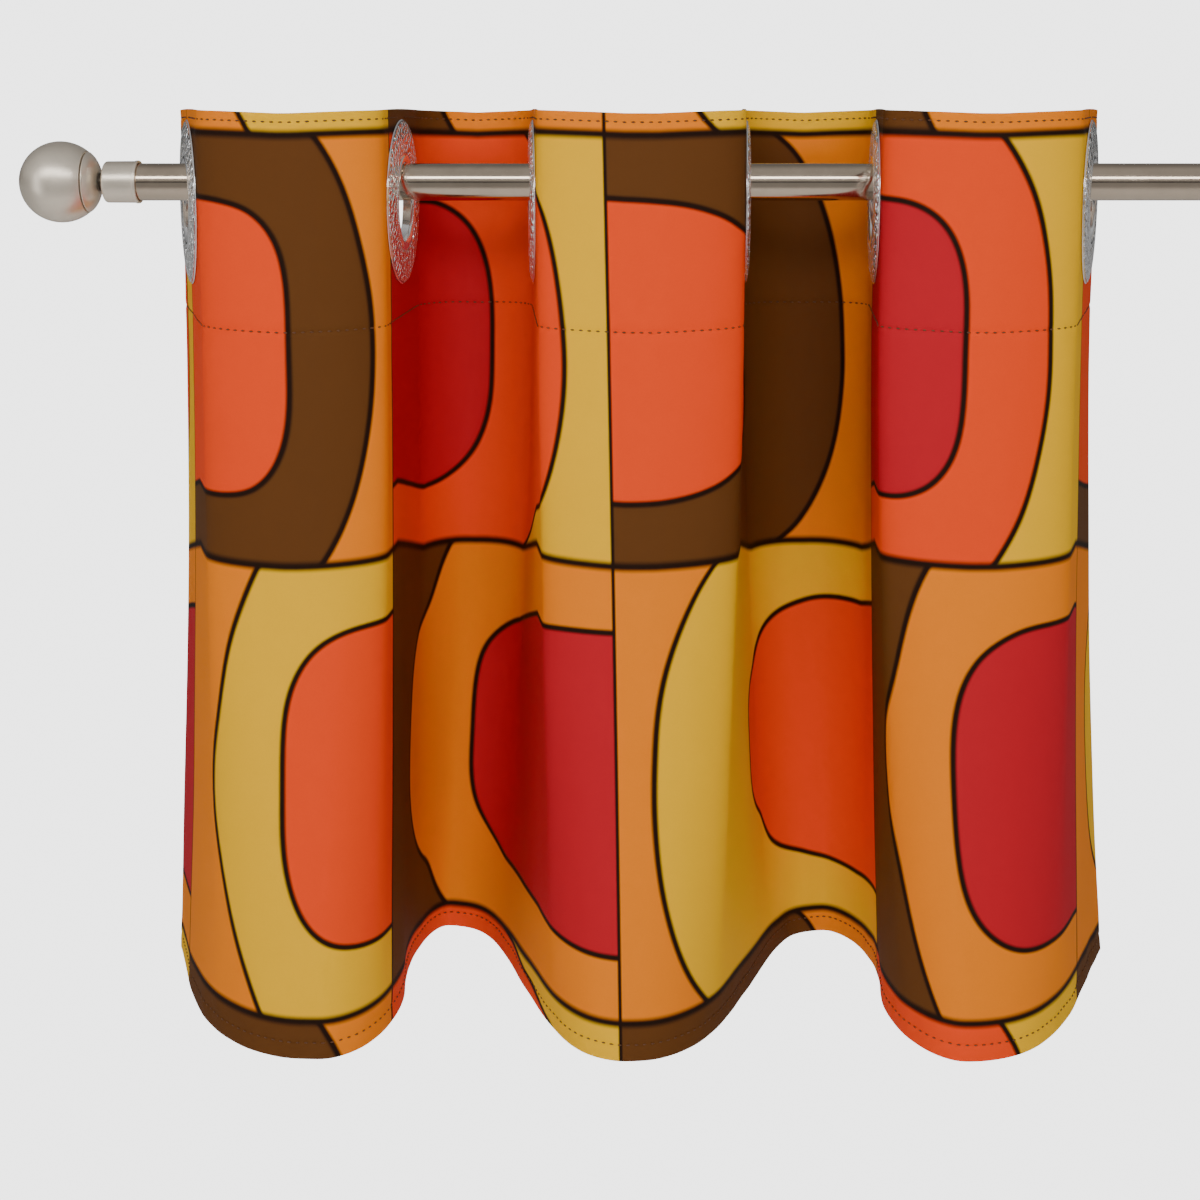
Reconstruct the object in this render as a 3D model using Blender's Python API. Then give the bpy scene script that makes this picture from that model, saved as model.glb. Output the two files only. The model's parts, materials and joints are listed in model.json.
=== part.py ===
# Short eyelet curtain (a valance) on a round rod with ball finials, carried by two wall brackets.
# Metres, +Z up. X runs along the rod, the wall face is the plane Y = 0 and the room is towards -Y.
# The origin is the middle of the left wall plate's back face.

import math

import bmesh
import bpy
from mathutils import Matrix, Vector

GAP = 0.0003  # left between two pieces that touch

# the rod and where the brackets hold it
ROD_RADIUS = 0.0095
ROD_WALL = 0.0010
ROD_SPAN = 0.540  # between the two brackets
ROD_OVERHANG = 0.0568  # bracket to the collar's open end
PROJECTION = 0.088  # wall face to rod axis

# wall brackets
PLATE_WIDTH = 0.030
PLATE_HEIGHT = 0.064
PLATE_THICKNESS = 0.004
PLATE_CORNER = 0.007
SCREW_SPACING = 0.044
SCREW_RADIUS = 0.0020
SCREW_HEAD_RADIUS = 0.0042
SCREW_HEAD_HEIGHT = 0.0024
SCREW_IN_WALL = 0.026
ARM_SIDE = 0.010
ARM_CORNER = 0.002
ARM_PAST_ROD = 0.008
CRADLE_WIDTH = 0.014
CRADLE_WALL = 0.0030
CRADLE_LIP = 0.004  # how far the cradle's sides rise past the rod axis
THUMB_RADIUS = 0.0025
THUMB_HEAD_RADIUS = 0.0075
THUMB_HEAD_HEIGHT = 0.005
THUMB_HEAD_CLEARANCE = 0.0015  # arm to head
THUMB_FLUTES = 12
THUMB_FLUTE_FLOOR = 0.9  # of the head's radius

CRADLE_BORE = ROD_RADIUS + GAP
ROD_HEIGHT = ARM_SIDE / 2 + GAP + CRADLE_BORE + CRADLE_WALL  # rod axis above the arm's axis

# finial, measured outwards from the collar's open end
COLLAR_LENGTH = 0.0175
COLLAR_RADIUS = 0.01065
COLLAR_END_WALL = 0.0020
COLLAR_CORNER = 0.0016  # rounding at the ball's side
COLLAR_LIP_RADIUS = 0.01095
COLLAR_LIP_LENGTH = 0.0016
STUD_RADIUS = 0.0030
STUD_PAST_LIP = 0.004  # how far the stud reaches in past the collar's open end
NECK_RADIUS = 0.0050
NECK_LENGTH = 0.0024
NECK_WAIST = 0.0005  # how much thinner the neck is in its middle
BALL_CENTRE = 0.0400
BALL_RADIUS = 0.0207
BALL_WALL = 0.0012
SEAM = 0.0265  # joint between the ball and its cap
CAP_OUTLINE = ((0.0, 0.0062), (0.0010, 0.0098), (0.0030, 0.0131))  # (distance from the neck, radius)
CAP_RIM_RADIUS = 0.0153
CAP_WALL = 0.0014
PLUG_LENGTH = 0.025

# the cloth and its six eyelets
EYELET_BORE = 0.0200
EYELET_RADIUS = 0.0420
EYELET_BARREL_WALL = 0.0016
EYELET_HEIGHT = 0.0033  # from the middle of the cloth to the flange's crown
FLANGE_RISE = ((0.0035, 0.0002), (0.0070, 0.0))  # (distance from the bore, drop from the crown)
FLANGE_SHOULDER = 0.0045  # width of the flange's outer slope
BARREL_LIP = 0.0010  # how far the bore's edge lies under the crown
CLOTH_HOLE = 0.0240
CLOTH_THICKNESS = 0.0020
CLOTH_HEIGHT = 0.470
CLOTH_ABOVE_ROD = 0.037  # top edge above the rod axis
FIRST_EYELET = -0.031  # from the left bracket
EYELET_TURN = (18, -4, 3.5, -4, -6, -20)  # degrees about the vertical; positive swings the front edge to +X
FRONT_SPAN = 0.108  # eyelet to eyelet across a front fold
BACK_SPAN = 0.067  # eyelet to eyelet across a back fold
FOLD_WALL = 0.045  # half the depth of the straight cloth that an eyelet is set in
EDGE_MARGIN = 0.050  # rod axis to the curtain's free side edge
FRONT_FOLD_DEPTH = 0.060  # rod axis to the crest of a front fold
BACK_FOLD_DEPTH = 0.074
FOLD_END_GAP = 0.004  # free space at both ends of a fold, so that folds slide past each other

EYELET_DROP = EYELET_BORE - ROD_RADIUS - GAP  # the eyelets hang on the top of the rod
ROUND = 24


def clear_scene():
    for old in list(bpy.data.objects):
        bpy.data.objects.remove(old, do_unlink=True)


def make_material(name, color, metallic, roughness):
    material = bpy.data.materials.new(name)
    material.use_nodes = True
    shader = material.node_tree.nodes["Principled BSDF"]
    shader.inputs["Base Color"].default_value = (*color, 1.0)
    shader.inputs["Metallic"].default_value = metallic
    shader.inputs["Roughness"].default_value = roughness
    return material


def add_piece(name, mesh_builder, material, location):
    mesh = bpy.data.meshes.new(name)
    mesh_builder.to_mesh(mesh)
    mesh_builder.free()
    mesh.materials.append(material)
    piece = bpy.data.objects.new(name, mesh)
    piece.location = location
    bpy.context.collection.objects.link(piece)
    return piece


def shade_round(piece):
    piece.data.shade_smooth()
    piece.data.set_sharp_from_angle(angle=math.radians(35))


def turned(name, profile, closed, material, location, segments=ROUND, turn=None):
    # profile is a list of (distance along the axis, radius), spun about X
    shape = bmesh.new()
    points = [shape.verts.new((along, 0.0, radius)) for along, radius in profile]
    for first, second in zip(points, points[1:]):
        shape.edges.new((first, second))
    if closed:
        shape.edges.new((points[-1], points[0]))
    bmesh.ops.spin(
        shape,
        geom=shape.verts[:] + shape.edges[:],
        cent=(0, 0, 0),
        axis=(1, 0, 0),
        angle=math.tau,
        steps=segments,
        use_merge=True,
    )
    bmesh.ops.remove_doubles(shape, verts=shape.verts[:], dist=1e-6)
    bmesh.ops.recalc_face_normals(shape, faces=shape.faces[:])
    if turn:
        shape.transform(turn)
    piece = add_piece(name, shape, material, location)
    shade_round(piece)
    return piece


def extruded(name, outline, travel, material, location):
    # outline is a list of 3-D points in one plane
    shape = bmesh.new()
    face = shape.faces.new([shape.verts.new(point) for point in outline])
    grown = bmesh.ops.extrude_face_region(shape, geom=[face])
    moved = [item for item in grown["geom"] if isinstance(item, bmesh.types.BMVert)]
    bmesh.ops.translate(shape, verts=moved, vec=travel)
    bmesh.ops.recalc_face_normals(shape, faces=shape.faces[:])
    return add_piece(name, shape, material, location)


def drill(piece, name, center, axis, radius, length, segments=24):
    shape = bmesh.new()
    turn = Vector((0, 0, 1)).rotation_difference(Vector(axis)).to_matrix().to_4x4()
    bmesh.ops.create_cone(
        shape, cap_ends=True, segments=segments, radius1=radius, radius2=radius, depth=length, matrix=turn
    )
    cutter = add_piece(name, shape, piece.data.materials[0], center)
    cutter.hide_render = True
    cutter.display_type = "WIRE"
    cut = piece.modifiers.new(name, "BOOLEAN")
    cut.operation = "DIFFERENCE"
    cut.object = cutter


def rounded_rectangle(width, height, corner, steps=5):
    points = []
    for quarter, (side, up) in enumerate([(1, 1), (-1, 1), (-1, -1), (1, -1)]):
        for step in range(steps + 1):
            angle = math.radians(90 * (quarter + step / steps))
            across = side * (width / 2 - corner) + corner * math.cos(angle)
            high = up * (height / 2 - corner) + corner * math.sin(angle)
            points.append((across, high))
    return points


def make_wall_plate(side, x, metal):
    sides = rounded_rectangle(PLATE_WIDTH, PLATE_HEIGHT, PLATE_CORNER)
    outline = [(across, 0.0, high) for across, high in sides]
    plate = extruded(f"{side}_wall_plate", outline, (0, -PLATE_THICKNESS, 0), metal, (x, 0, 0))
    for end in (-1, 1):
        drill(
            plate,
            f"{side}_screw_hole_{'lower' if end < 0 else 'upper'}",
            (x, -PLATE_THICKNESS / 2, end * SCREW_SPACING / 2),
            (0, 1, 0),
            SCREW_RADIUS + GAP,
            3 * PLATE_THICKNESS,
        )


def make_wall_screw(side, end_name, x, z, steel):
    head_back = PLATE_THICKNESS + GAP
    profile = [
        (-head_back - SCREW_HEAD_HEIGHT, 0.0),
        (-head_back - SCREW_HEAD_HEIGHT, 0.55 * SCREW_HEAD_RADIUS),
        (-head_back - 0.6 * SCREW_HEAD_HEIGHT, 0.9 * SCREW_HEAD_RADIUS),
        (-head_back, SCREW_HEAD_RADIUS),
        (-head_back, SCREW_RADIUS),
        (SCREW_IN_WALL - 3 * SCREW_RADIUS, SCREW_RADIUS),
        (SCREW_IN_WALL, 0.0),
    ]
    along_y = Matrix.Rotation(math.radians(90), 4, "Z")
    turned(f"{side}_wall_screw_{end_name}", profile, False, steel, (x, 0, z), 16, along_y)


def make_arm(side, x, metal):
    start = -PLATE_THICKNESS - GAP
    length = PROJECTION + ARM_PAST_ROD + start
    outline = [(across, start, high) for across, high in rounded_rectangle(ARM_SIDE, ARM_SIDE, ARM_CORNER, 3)]
    arm = extruded(f"{side}_bracket_arm", outline, (0, -length, 0), metal, (x, 0, 0))
    drill(arm, f"{side}_arm_thread", (x, -PROJECTION, 0), (0, 0, 1), THUMB_RADIUS + GAP, 2 * ARM_SIDE)


def make_cradle(side, x, metal):
    outer = CRADLE_BORE + CRADLE_WALL
    steps = 18
    angles = [math.pi + math.pi * step / steps for step in range(steps + 1)]
    outline = [(outer * math.cos(a), outer * math.sin(a)) for a in angles]
    outline += [(outer, CRADLE_LIP), (CRADLE_BORE, CRADLE_LIP)]
    outline += [(CRADLE_BORE * math.cos(a), CRADLE_BORE * math.sin(a)) for a in reversed(angles)]
    outline += [(-CRADLE_BORE, CRADLE_LIP), (-outer, CRADLE_LIP)]
    points = [(-CRADLE_WIDTH / 2, across, high) for across, high in outline]
    axis_point = (x, -PROJECTION, ROD_HEIGHT)
    cradle = extruded(f"{side}_rod_cradle", points, (CRADLE_WIDTH, 0, 0), metal, axis_point)
    hole_center = (x, -PROJECTION, ROD_HEIGHT - outer)
    drill(cradle, f"{side}_cradle_thread", hole_center, (0, 0, 1), THUMB_RADIUS + GAP, 4 * CRADLE_WALL)


def make_thumb_screw(side, x, metal):
    tip = ROD_HEIGHT - ROD_RADIUS - GAP
    head_top = -ARM_SIDE / 2 - THUMB_HEAD_CLEARANCE
    shape = bmesh.new()
    head = bmesh.ops.create_cone(
        shape,
        cap_ends=True,
        segments=2 * THUMB_FLUTES,
        radius1=THUMB_HEAD_RADIUS,
        radius2=THUMB_HEAD_RADIUS,
        depth=THUMB_HEAD_HEIGHT,
        matrix=Matrix.Translation((0, 0, head_top - THUMB_HEAD_HEIGHT / 2)),
    )
    for corner in head["verts"]:
        turn = math.atan2(corner.co.y, corner.co.x)
        if round(turn / math.pi * THUMB_FLUTES) % 2:
            corner.co.x *= THUMB_FLUTE_FLOOR
            corner.co.y *= THUMB_FLUTE_FLOOR
    top = max(shape.faces, key=lambda face: face.calc_center_median().z)
    bmesh.ops.inset_individual(shape, faces=[top], thickness=THUMB_HEAD_RADIUS - THUMB_RADIUS - 0.001)
    for corner in top.verts:
        flat = Vector((corner.co.x, corner.co.y)).normalized() * THUMB_RADIUS
        corner.co.x = flat.x
        corner.co.y = flat.y
    grown = bmesh.ops.extrude_face_region(shape, geom=[top])
    moved = [item for item in grown["geom"] if isinstance(item, bmesh.types.BMVert)]
    bmesh.ops.delete(shape, geom=[top], context="FACES_ONLY")
    bmesh.ops.translate(shape, verts=moved, vec=(0, 0, tip - head_top))
    bmesh.ops.recalc_face_normals(shape, faces=shape.faces[:])
    shade_round(add_piece(f"{side}_thumb_screw", shape, metal, (x, -PROJECTION, 0)))


def make_bracket(side, x, metal, steel):
    make_wall_plate(side, x, metal)
    make_arm(side, x, metal)
    make_cradle(side, x, metal)
    make_thumb_screw(side, x, metal)
    for end_name, end in (("lower", -1), ("upper", 1)):
        make_wall_screw(side, end_name, x, end * SCREW_SPACING / 2, steel)


def make_rod(metal):
    inset = COLLAR_LENGTH - COLLAR_END_WALL - GAP
    start = -ROD_OVERHANG - inset
    end = ROD_SPAN + ROD_OVERHANG + inset
    bore = ROD_RADIUS - ROD_WALL
    profile = [(start, bore), (start, ROD_RADIUS), (end, ROD_RADIUS), (end, bore)]
    turned("rod_tube", profile, True, metal, (0, -PROJECTION, ROD_HEIGHT))


def outwards(profile, direction):
    return [(direction * along, radius) for along, radius in profile]


def make_collar(side, place, direction, metal):
    bore = ROD_RADIUS + GAP
    stud_hole = STUD_RADIUS + GAP
    inner_end = COLLAR_LENGTH - COLLAR_END_WALL
    profile = [
        (0.0, bore),
        (0.0, COLLAR_LIP_RADIUS),
        (COLLAR_LIP_LENGTH, COLLAR_LIP_RADIUS),
        (COLLAR_LIP_LENGTH, COLLAR_RADIUS),
        (COLLAR_LENGTH - COLLAR_CORNER, COLLAR_RADIUS),
        (COLLAR_LENGTH - 0.3 * COLLAR_CORNER, COLLAR_RADIUS - 0.3 * COLLAR_CORNER),
        (COLLAR_LENGTH, COLLAR_RADIUS - COLLAR_CORNER),
        (COLLAR_LENGTH, stud_hole),
        (inner_end, stud_hole),
        (inner_end, bore),
    ]
    turned(f"{side}_collar", outwards(profile, direction), True, metal, place)


def make_threaded_plug(side, place, direction, steel):
    outer_end = COLLAR_LENGTH - COLLAR_END_WALL - GAP
    inner_end = outer_end - PLUG_LENGTH
    radius = ROD_RADIUS - ROD_WALL - GAP
    bore = STUD_RADIUS + GAP
    profile = [(inner_end, bore), (inner_end, radius), (outer_end, radius), (outer_end, bore)]
    turned(f"{side}_threaded_plug", outwards(profile, direction), True, steel, place, 16)


def make_stud(side, place, direction, steel):
    neck_start = COLLAR_LENGTH + GAP
    neck_end = neck_start + NECK_LENGTH
    profile = [
        (-STUD_PAST_LIP, 0.0),
        (-STUD_PAST_LIP, STUD_RADIUS),
        (neck_start, STUD_RADIUS),
        (neck_start, NECK_RADIUS),
        ((neck_start + neck_end) / 2, NECK_RADIUS - NECK_WAIST),
        (neck_end, NECK_RADIUS),
        (neck_end, STUD_RADIUS),
        (SEAM, STUD_RADIUS),
        (SEAM, 0.0),
    ]
    turned(f"{side}_finial_stud", outwards(profile, direction), False, steel, place, 16)


def make_ball_cap(side, place, direction, metal):
    start = COLLAR_LENGTH + GAP + NECK_LENGTH + GAP
    rim = SEAM - GAP / 2
    hole = STUD_RADIUS + GAP
    outer = [(start + along, radius) for along, radius in CAP_OUTLINE]
    outer.append((rim, CAP_RIM_RADIUS))
    inner = [(start + along + CAP_WALL, radius - 0.5 * CAP_WALL) for along, radius in CAP_OUTLINE]
    inner.append((rim, CAP_RIM_RADIUS - CAP_WALL))
    profile = [(start, hole), *outer, *reversed(inner), (start + CAP_WALL, hole)]
    turned(f"{side}_finial_cap", outwards(profile, direction), True, metal, place)


def sphere_arc(radius, start, steps):
    # from the far pole back to the distance `start`
    first = math.acos((start - BALL_CENTRE) / radius)
    angles = [first * step / steps for step in range(steps + 1)]
    return [(BALL_CENTRE + radius * math.cos(a), radius * math.sin(a)) for a in angles]


def make_ball(side, place, direction, metal):
    rim = SEAM + GAP / 2
    outer = sphere_arc(BALL_RADIUS, rim, 9)
    inner = sphere_arc(BALL_RADIUS - BALL_WALL, rim, 6)
    turned(f"{side}_finial_ball", outwards(outer + inner[::-1], direction), False, metal, place)


def make_rod_end(side, x, direction, metal, steel):
    place = (x, -PROJECTION, ROD_HEIGHT)
    make_collar(side, place, direction, metal)
    make_threaded_plug(side, place, direction, steel)
    make_stud(side, place, direction, steel)
    make_ball_cap(side, place, direction, metal)
    make_ball(side, place, direction, metal)


def eyelet_places():
    places = [FIRST_EYELET]
    for span in range(5):
        places.append(places[-1] + (BACK_SPAN if span % 2 else FRONT_SPAN))
    return places


def make_eyelet(number, x, facing, chrome):
    # facing is the side of the cloth that shows the print: -1 is towards -X
    place = (x, -PROJECTION, ROD_HEIGHT - EYELET_DROP)
    under = CLOTH_THICKNESS / 2 + GAP
    crown = EYELET_HEIGHT
    barrel = EYELET_BORE + EYELET_BARREL_WALL
    flange = [(crown - drop, EYELET_BORE + width) for width, drop in FLANGE_RISE]
    flange += [
        (crown - 0.4 * BARREL_LIP, EYELET_RADIUS - FLANGE_SHOULDER),
        (under + 0.6 * BARREL_LIP, EYELET_RADIUS),
        (under, EYELET_RADIUS),
    ]
    barrel_end = -crown + 0.4 * BARREL_LIP
    front = [(barrel_end, EYELET_BORE), (crown - BARREL_LIP, EYELET_BORE), *flange]
    front += [(under, barrel), (barrel_end, barrel)]
    back = [(under, barrel + GAP), (crown - 0.6 * BARREL_LIP, barrel + GAP), *flange]
    for side_name, profile, side in (("front", front, facing), ("back", back, -facing)):
        ring = turned(f"eyelet_{number}_{side_name}_ring", outwards(profile, side), True, chrome, place)
        ring.rotation_euler.z = math.radians(EYELET_TURN[number - 1])


def make_fold_wall(number, x, cloth):
    # the straight stretch that an eyelet is set in; the first and last also reach the side edges
    back = EDGE_MARGIN if number in (1, 6) else FOLD_WALL
    top = ROD_HEIGHT + CLOTH_ABOVE_ROD
    left = -CLOTH_THICKNESS / 2
    outline = [
        (left, -FOLD_WALL, top),
        (left, back, top),
        (left, back, top - CLOTH_HEIGHT),
        (left, -FOLD_WALL, top - CLOTH_HEIGHT),
    ]
    turn = math.radians(EYELET_TURN[number - 1])
    wall = extruded(f"cloth_wall_{number}", outline, (CLOTH_THICKNESS, 0, 0), cloth, (x, -PROJECTION, 0))
    wall.rotation_euler.z = turn
    center = (x, -PROJECTION, ROD_HEIGHT - EYELET_DROP)
    normal = (math.cos(turn), math.sin(turn), 0)
    drill(wall, f"cloth_hole_{number}", center, normal, CLOTH_HOLE, 4 * CLOTH_THICKNESS)


def wall_end(x, degrees, direction):
    # where a fold wall ends, front (-1) or back (1)
    return x - direction * FOLD_WALL * math.sin(math.radians(degrees))


def make_fold(name, index, direction, depth, cloth):
    # one curved sheet from an eyelet to the next; direction -1 bulges into the room
    steps = 14
    places = eyelet_places()
    start = wall_end(places[index], EYELET_TURN[index], direction) + FOLD_END_GAP
    end = wall_end(places[index + 1], EYELET_TURN[index + 1], direction) - FOLD_END_GAP
    edge = FOLD_WALL + GAP + CLOTH_THICKNESS
    rise = depth - CLOTH_THICKNESS / 2 - edge
    bottom = ROD_HEIGHT + CLOTH_ABOVE_ROD - CLOTH_HEIGHT
    shape = bmesh.new()
    line = []
    for step in range(steps + 1):
        along = step / steps
        out = edge + rise * math.sin(math.pi * along)
        line.append(shape.verts.new((start + (end - start) * along, direction * out, bottom)))
    edges = [shape.edges.new(pair) for pair in zip(line, line[1:])]
    grown = bmesh.ops.extrude_edge_only(shape, edges=edges)
    moved = [item for item in grown["geom"] if isinstance(item, bmesh.types.BMVert)]
    bmesh.ops.translate(shape, verts=moved, vec=(0, 0, CLOTH_HEIGHT))
    bmesh.ops.recalc_face_normals(shape, faces=shape.faces[:])
    sheet = add_piece(name, shape, cloth, (0, -PROJECTION, 0))
    wall = sheet.modifiers.new("cloth thickness", "SOLIDIFY")
    wall.thickness = CLOTH_THICKNESS
    wall.offset = 0.0
    wall.use_even_offset = True
    shade_round(sheet)


def make_curtain(cloth, chrome):
    places = eyelet_places()
    for index, x in enumerate(places):
        number = index + 1
        make_fold_wall(number, x, cloth)
        make_eyelet(number, x, 1 if index % 2 else -1, chrome)
    for index in (0, 2, 4):
        make_fold(f"cloth_front_fold_{index // 2 + 1}", index, -1, FRONT_FOLD_DEPTH, cloth)
    for index in (1, 3):
        make_fold(f"cloth_back_fold_{index // 2 + 1}", index, 1, BACK_FOLD_DEPTH, cloth)


def main():
    clear_scene()
    nickel = make_material("satin nickel", (0.62, 0.58, 0.54), 1.0, 0.32)
    zinc = make_material("zinc plated steel", (0.55, 0.56, 0.58), 1.0, 0.35)
    chrome = make_material("hammered chrome", (0.80, 0.80, 0.81), 1.0, 0.15)
    cloth = make_material("printed cloth", (0.85, 0.30, 0.03), 0.0, 0.85)
    make_bracket("left", 0.0, nickel, zinc)
    make_bracket("right", ROD_SPAN, nickel, zinc)
    make_rod(nickel)
    make_rod_end("left", -ROD_OVERHANG, -1, nickel, zinc)
    make_rod_end("right", ROD_SPAN + ROD_OVERHANG, 1, nickel, zinc)
    make_curtain(cloth, chrome)


main()
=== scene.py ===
import json
import math

import bmesh
import bpy
import numpy as np
from mathutils import Matrix, Vector, noise

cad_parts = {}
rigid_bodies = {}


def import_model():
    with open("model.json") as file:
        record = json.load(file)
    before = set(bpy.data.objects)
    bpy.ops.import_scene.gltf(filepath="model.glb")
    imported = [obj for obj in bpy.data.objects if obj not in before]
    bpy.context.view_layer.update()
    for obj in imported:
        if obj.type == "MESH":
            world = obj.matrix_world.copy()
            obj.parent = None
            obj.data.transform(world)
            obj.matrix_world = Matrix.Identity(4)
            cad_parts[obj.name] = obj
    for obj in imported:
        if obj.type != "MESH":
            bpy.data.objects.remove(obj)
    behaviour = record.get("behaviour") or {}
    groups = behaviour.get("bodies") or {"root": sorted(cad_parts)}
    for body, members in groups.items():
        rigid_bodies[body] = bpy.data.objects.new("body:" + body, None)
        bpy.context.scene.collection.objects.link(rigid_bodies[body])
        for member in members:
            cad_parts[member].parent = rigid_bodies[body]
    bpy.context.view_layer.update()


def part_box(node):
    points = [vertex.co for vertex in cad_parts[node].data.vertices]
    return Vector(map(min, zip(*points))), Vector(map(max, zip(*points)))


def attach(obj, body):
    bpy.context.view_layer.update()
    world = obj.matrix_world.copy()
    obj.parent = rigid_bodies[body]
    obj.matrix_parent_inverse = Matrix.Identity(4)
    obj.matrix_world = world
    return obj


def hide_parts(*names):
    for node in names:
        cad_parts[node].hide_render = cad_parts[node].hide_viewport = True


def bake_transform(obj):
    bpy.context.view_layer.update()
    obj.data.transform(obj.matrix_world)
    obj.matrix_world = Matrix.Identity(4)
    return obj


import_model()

# Short eyelet curtain on a nickel rod. Everything is in metres; X runs along the rod, the room is towards -Y.

rodLow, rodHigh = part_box("rod_tube")
rodAxis = Vector((0, (rodLow.y + rodHigh.y) / 2, (rodLow.z + rodHigh.z) / 2))
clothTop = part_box("cloth_wall_1")[1].z
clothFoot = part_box("cloth_wall_1")[0].z


def middleOf(*nodes):
    lows = [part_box(name)[0] for name in nodes]
    highs = [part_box(name)[1] for name in nodes]
    return sum((low + high for low, high in zip(lows, highs)), Vector()) / (2 * len(nodes))


eyeletCenters = [middleOf(f"eyelet_{n}_front_ring", f"eyelet_{n}_back_ring") for n in range(1, 7)]


# ---- camera, light and floor

cameraSettings = {
    "x": 0.209,  # from the first eyelet
    "distance": 0.860,  # from the rod's axis
    "height": 0.0,  # above the cloth's top edge
    "pitch": 7.5,
    "lens": 50.4,
    "shift": -0.225,
}


def makeCamera(s):
    lens = bpy.data.cameras.new("camera")
    lens.lens = s["lens"]
    lens.sensor_width = 36
    lens.shift_y = s["shift"]
    camera = bpy.data.objects.new("camera", lens)
    camera.location = (eyeletCenters[0].x + s["x"], rodAxis.y - s["distance"], clothTop + s["height"])
    camera.rotation_euler = (math.radians(90 - s["pitch"]), 0, 0)
    bpy.context.collection.objects.link(camera)
    bpy.context.scene.camera = camera


makeCamera(cameraSettings)


floorSettings = {"below": 0.75, "color": (0.80, 0.80, 0.80, 1), "seen": 3.4}


def makeFloor(s):
    # pale and far below; the camera sees it as bright as the sky behind it
    sheet = bmesh.new()
    bmesh.ops.create_grid(sheet, x_segments=1, y_segments=1, size=30)
    bmesh.ops.translate(sheet, verts=sheet.verts, vec=(0, 0, clothFoot - s["below"]))
    floor = bpy.data.meshes.new("floor")
    sheet.to_mesh(floor)
    sheet.free()
    paint = bpy.data.materials.new("paleFloor")
    paint.use_nodes = True
    tree = paint.node_tree
    shader = tree.nodes["Principled BSDF"]
    shader.inputs["Base Color"].default_value = s["color"]
    shader.inputs["Roughness"].default_value = 0.9
    glow = tree.nodes.new("ShaderNodeEmission")
    glow.inputs["Strength"].default_value = s["seen"]
    swap = tree.nodes.new("ShaderNodeMixShader")
    tree.links.new(tree.nodes.new("ShaderNodeLightPath").outputs["Is Camera Ray"], swap.inputs["Fac"])
    tree.links.new(shader.outputs["BSDF"], swap.inputs[1])
    tree.links.new(glow.outputs["Emission"], swap.inputs[2])
    tree.links.new(swap.outputs["Shader"], tree.nodes["Material Output"].inputs["Surface"])
    floor.materials.append(paint)
    floorObject = bpy.data.objects.new("floor", floor)
    bpy.context.collection.objects.link(floorObject)


lightSettings = {
    "sky": 0.42,
    "horizon": 0.05,
    "behind": 0.45,  # share of the sky's light that the wall side gets
    "lamps": [
        # name, place from the middle of the curtain, width, height, watts, seen in the metal
        ("softBox", (-0.10, -1.30, 0.90), 2.6, 0.30, 15, True),
        ("sideBox", (-1.50, -0.90, 0.10), 0.5, 1.3, 3, True),
        ("frontBox", (0.05, -1.70, 0.15), 1.2, 0.8, 11, False),
        ("backBox", (0.10, 1.50, 0.55), 1.6, 0.8, 12, False),
    ],
}


def makeSky(s):
    # bright overhead, dim at the horizon and on the wall's side
    world = bpy.data.worlds.new("studio")
    world.use_nodes = True
    tree = world.node_tree
    sky = tree.nodes["Background"]
    place = tree.nodes.new("ShaderNodeTexCoord").outputs["Generated"]
    _, y, z = splitVector(tree, place)
    level = maths(tree, "ABSOLUTE", maths(tree, "ADD", z, 0.03))
    light = ramp(tree, level, 0.06, 0.22, s["horizon"], s["sky"])
    light = maths(tree, "MULTIPLY", light, ramp(tree, y, -0.2, 0.7, 1.0, s["behind"]))
    feed(tree, sky.inputs["Strength"], light)
    seen = tree.nodes.new("ShaderNodeBackground")
    seen.inputs["Color"].default_value = (1, 1, 1, 1)
    seen.inputs["Strength"].default_value = floorSettings["seen"]
    swap = tree.nodes.new("ShaderNodeMixShader")
    tree.links.new(tree.nodes.new("ShaderNodeLightPath").outputs["Is Camera Ray"], swap.inputs["Fac"])
    tree.links.new(sky.outputs["Background"], swap.inputs[1])
    tree.links.new(seen.outputs["Background"], swap.inputs[2])
    tree.links.new(swap.outputs["Shader"], tree.nodes["World Output"].inputs["Surface"])
    sky.inputs["Color"].default_value = (1, 1, 1, 1)
    bpy.context.scene.world = world


def makeLamps(s):
    aim = Vector((0.2, rodAxis.y, -0.15))
    for name, place, width, height, watts, mirrored in s["lamps"]:
        lamp = bpy.data.lights.new(name, "AREA")
        lamp.shape = "RECTANGLE"
        lamp.size = width
        lamp.size_y = height
        lamp.energy = watts
        lampObject = bpy.data.objects.new(name, lamp)
        lampObject.location = aim + Vector(place)
        lampObject.rotation_euler = (-Vector(place)).to_track_quat("-Z", "Y").to_euler()
        lampObject.visible_glossy = mirrored
        bpy.context.collection.objects.link(lampObject)



# ---- shader helpers

def newFinish(name):
    finish = bpy.data.materials.new(name)
    finish.use_nodes = True
    return finish, finish.node_tree, finish.node_tree.nodes["Principled BSDF"]


def feed(tree, socket, value):
    if isinstance(value, bpy.types.NodeSocket):
        tree.links.new(value, socket)
    else:
        socket.default_value = value


def maths(tree, operation, *values, clamp=False):
    step = tree.nodes.new("ShaderNodeMath")
    step.operation = operation
    step.use_clamp = clamp
    for socket, value in zip(step.inputs, values):
        feed(tree, socket, value)
    return step.outputs[0]


def ramp(tree, value, low, high, toLow=0.0, toHigh=1.0):
    # smooth step from low to high
    step = tree.nodes.new("ShaderNodeMapRange")
    step.interpolation_type = "SMOOTHSTEP"
    names = ("Value", "From Min", "From Max", "To Min", "To Max")
    for name, number in zip(names, (value, low, high, toLow, toHigh)):
        feed(tree, step.inputs[name], number)
    return step.outputs["Result"]


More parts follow.
